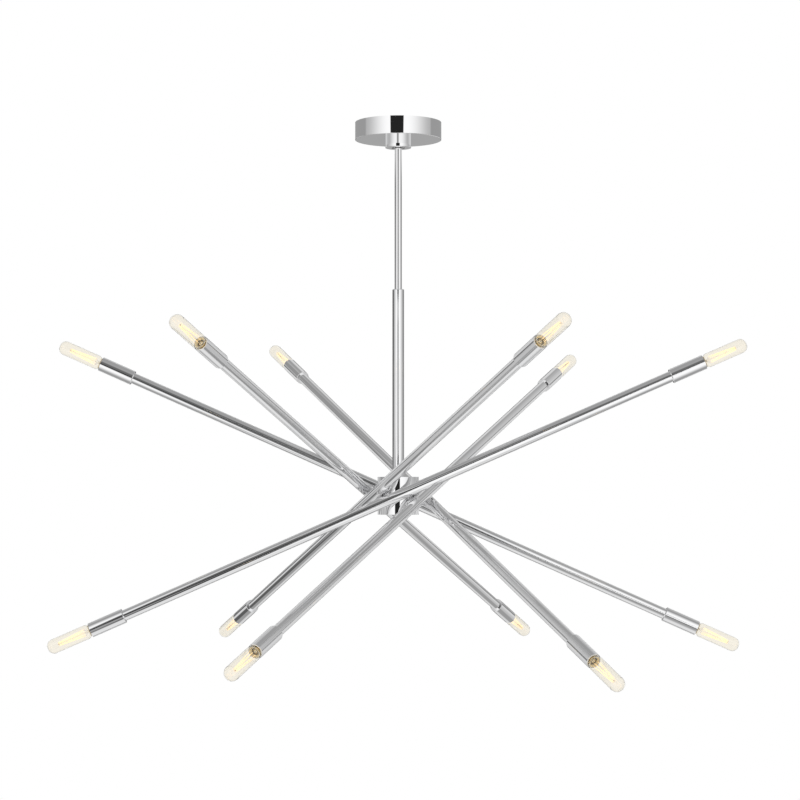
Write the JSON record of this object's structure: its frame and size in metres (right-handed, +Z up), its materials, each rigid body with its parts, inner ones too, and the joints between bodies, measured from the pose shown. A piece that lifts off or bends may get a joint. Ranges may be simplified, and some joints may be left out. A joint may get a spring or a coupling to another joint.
{
  "type": "multi arm chandelier",
  "caption": "Hanging light: straight polished tubes pivot round a central drum, each with a tubular bulb at both ends, on a rod stem with a ball swivel and round canopy.",
  "frame": {"origin": "centre of the mounting strap in the ceiling plane", "axes": "+Z up into the ceiling, the fixture hangs in -Z; -Y is the front, X runs along the screw slots"},
  "size_m": [1.21, 1.0984, 0.9664],
  "materials": {
    "chrome": "polished",
    "zinc": "satin",
    "green_screw": "satin",
    "nylon": "satin",
    "steel": "satin",
    "socket_plastic": "satin",
    "brass": "satin",
    "bulb_glass": "gloss"
  },
  "bodies": {
    "ceiling": {"mounting_strap": "zinc", "ground_screw": "green_screw", "canopy_pipe": "zinc", "canopy_pipe_nuts": "zinc", "swivel_housing": "steel", "swivel_plug": "steel", "canopy": "chrome", "canopy_collar": "chrome"},
    "liner": {"swivel_liner": "nylon"},
    "ball": {"swivel_ball": "steel"},
    "stem": {"swivel_nut": "steel", "upper_rod": "chrome", "rod_coupling": "zinc", "lower_rod": "chrome", "sleeve_cap": "chrome", "stem_sleeve": "chrome", "stem_pipe": "zinc", "stem_locknut": "zinc", "hub_shell": "chrome", "hub_top_cover": "chrome", "hub_bottom_cover": "chrome", "hub_bracket": "zinc", "hub_cap_screw": "chrome"},
    "arm_1": {"arm_1_tube": "chrome", "arm_1_fittings": "steel", "arm_1_cups": "chrome", "arm_1_sockets": "socket_plastic", "arm_1_bulb_bases": "brass", "arm_1_bulb_glass": "bulb_glass"},
    "arm_2": {"arm_2_tube": "chrome", "arm_2_fittings": "steel", "arm_2_cups": "chrome", "arm_2_sockets": "socket_plastic", "arm_2_bulb_bases": "brass", "arm_2_bulb_glass": "bulb_glass"},
    "arm_3": {"arm_3_tube": "chrome", "arm_3_fittings": "steel", "arm_3_cups": "chrome", "arm_3_sockets": "socket_plastic", "arm_3_bulb_bases": "brass", "arm_3_bulb_glass": "bulb_glass"},
    "arm_4": {"arm_4_tube": "chrome", "arm_4_fittings": "steel", "arm_4_cups": "chrome", "arm_4_sockets": "socket_plastic", "arm_4_bulb_bases": "brass", "arm_4_bulb_glass": "bulb_glass"},
    "arm_5": {"arm_5_tube": "chrome", "arm_5_fittings": "steel", "arm_5_cups": "chrome", "arm_5_sockets": "socket_plastic", "arm_5_bulb_bases": "brass", "arm_5_bulb_glass": "bulb_glass"},
    "arm_6": {"arm_6_tube": "chrome", "arm_6_fittings": "steel", "arm_6_cups": "chrome", "arm_6_sockets": "socket_plastic", "arm_6_bulb_bases": "brass", "arm_6_bulb_glass": "bulb_glass"}
  },
  "joints": [
    {"name": "swivel_tilt_x", "type": "hinge", "parent": "ceiling", "child": "liner", "pos_m": [0, 0, -0.0308], "axis": [1, 0, 0], "range_deg": [-12.5, 12.5]},
    {"name": "swivel_tilt_y", "type": "hinge", "parent": "liner", "child": "ball", "pos_m": [0, 0, -0.0308], "axis": [0, 1, 0], "range_deg": [-12.5, 12.5]},
    {"name": "swivel_turn", "type": "hinge", "parent": "ball", "child": "stem", "pos_m": [0, 0, -0.0308], "axis": [0, 0, 1], "range_deg": [-175, 175]},
    {"name": "arm_1_pivot", "type": "hinge", "parent": "stem", "child": "arm_1", "pos_m": [0, -0.0519, -0.658], "axis": [0, -1, 0], "range_deg": [-3.6, 51.4]},
    {"name": "arm_2_pivot", "type": "hinge", "parent": "stem", "child": "arm_2", "pos_m": [0.04495, -0.02595, -0.658], "axis": [0.866, -0.5, 0], "range_deg": [-4.3, 50.7]},
    {"name": "arm_3_pivot", "type": "hinge", "parent": "stem", "child": "arm_3", "pos_m": [0.04495, 0.02595, -0.658], "axis": [0.866, 0.5, 0], "range_deg": [-6.4, 48.6]},
    {"name": "arm_4_pivot", "type": "hinge", "parent": "stem", "child": "arm_4", "pos_m": [0, 0.0519, -0.658], "axis": [0, 1, 0], "range_deg": [-3.9, 51.1]},
    {"name": "arm_5_pivot", "type": "hinge", "parent": "stem", "child": "arm_5", "pos_m": [-0.04495, 0.02595, -0.658], "axis": [-0.866, 0.5, 0], "range_deg": [-4.3, 50.7]},
    {"name": "arm_6_pivot", "type": "hinge", "parent": "stem", "child": "arm_6", "pos_m": [-0.04495, -0.02595, -0.658], "axis": [-0.866, -0.5, 0], "range_deg": [-4.2, 50.8]}
  ]
}
